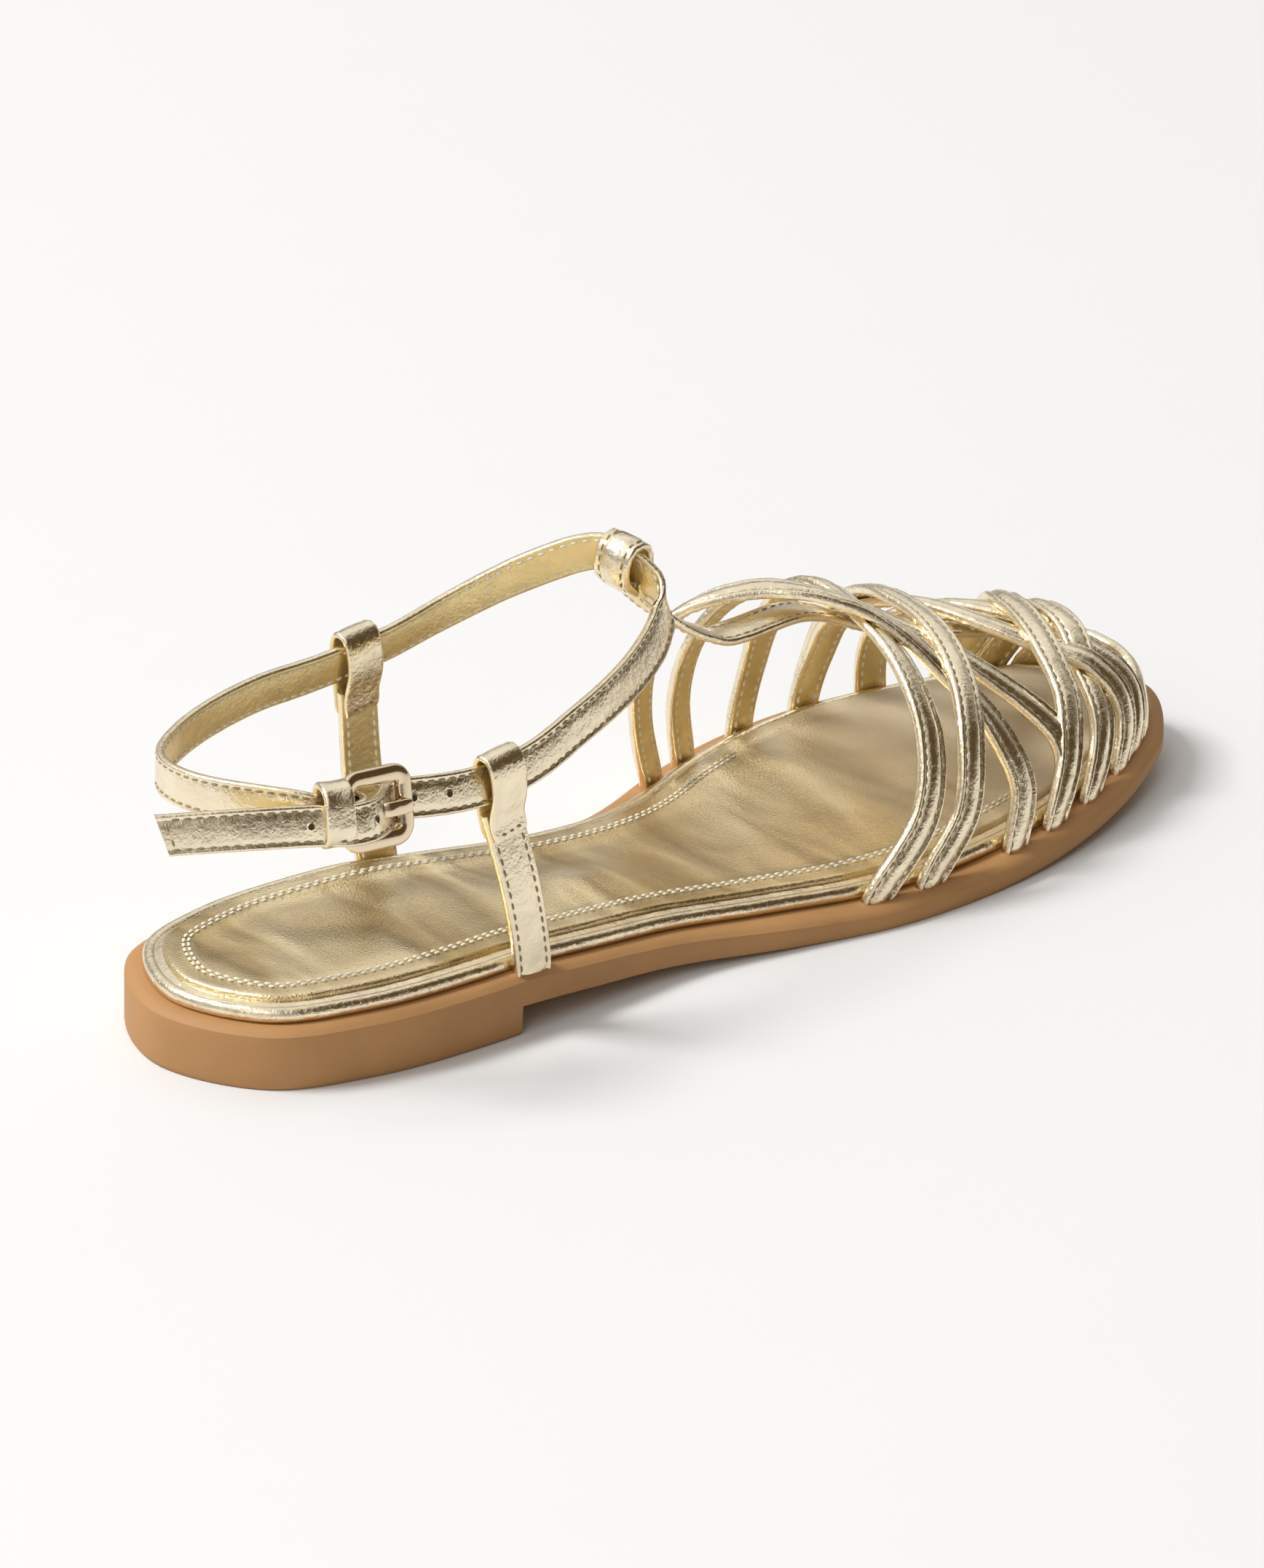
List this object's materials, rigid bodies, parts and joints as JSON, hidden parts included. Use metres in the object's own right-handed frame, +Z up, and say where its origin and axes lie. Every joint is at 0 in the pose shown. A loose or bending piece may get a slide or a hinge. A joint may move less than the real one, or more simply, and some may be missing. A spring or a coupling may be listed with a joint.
{
  "type": "fisherman sandal",
  "caption": "Flat open fisherman sandal for the right foot: woven narrow straps over the toes, a middle strap, heel posts and a buckled ankle strap on a moulded sole with a low heel.",
  "frame": {"origin": "middle of the whole shoe in plan, at floor level under the sole", "axes": "+X towards the toe, +Y towards the foot's inner side (medial), +Z up"},
  "size_m": [0.2662, 0.0858, 0.0819],
  "materials": {
    "tan_rubber": "smooth satin tan",
    "gold_leather": "crinkled metallic pale gold foil",
    "gold_lining": "padded metallic gold, softly shining",
    "gold_metal": "polished pale gold"
  },
  "bodies": {
    "root": {"outsole": "tan_rubber", "footbed_board": "gold_leather", "insole_sock": "gold_lining", "upper": "gold_leather", "heel_post_lateral": "gold_leather", "heel_post_medial": "gold_leather", "ankle_strap": "gold_leather", "keeper": "gold_leather", "buckle_frame": "gold_metal", "buckle_prong": "gold_metal"}
  },
  "joints": []
}
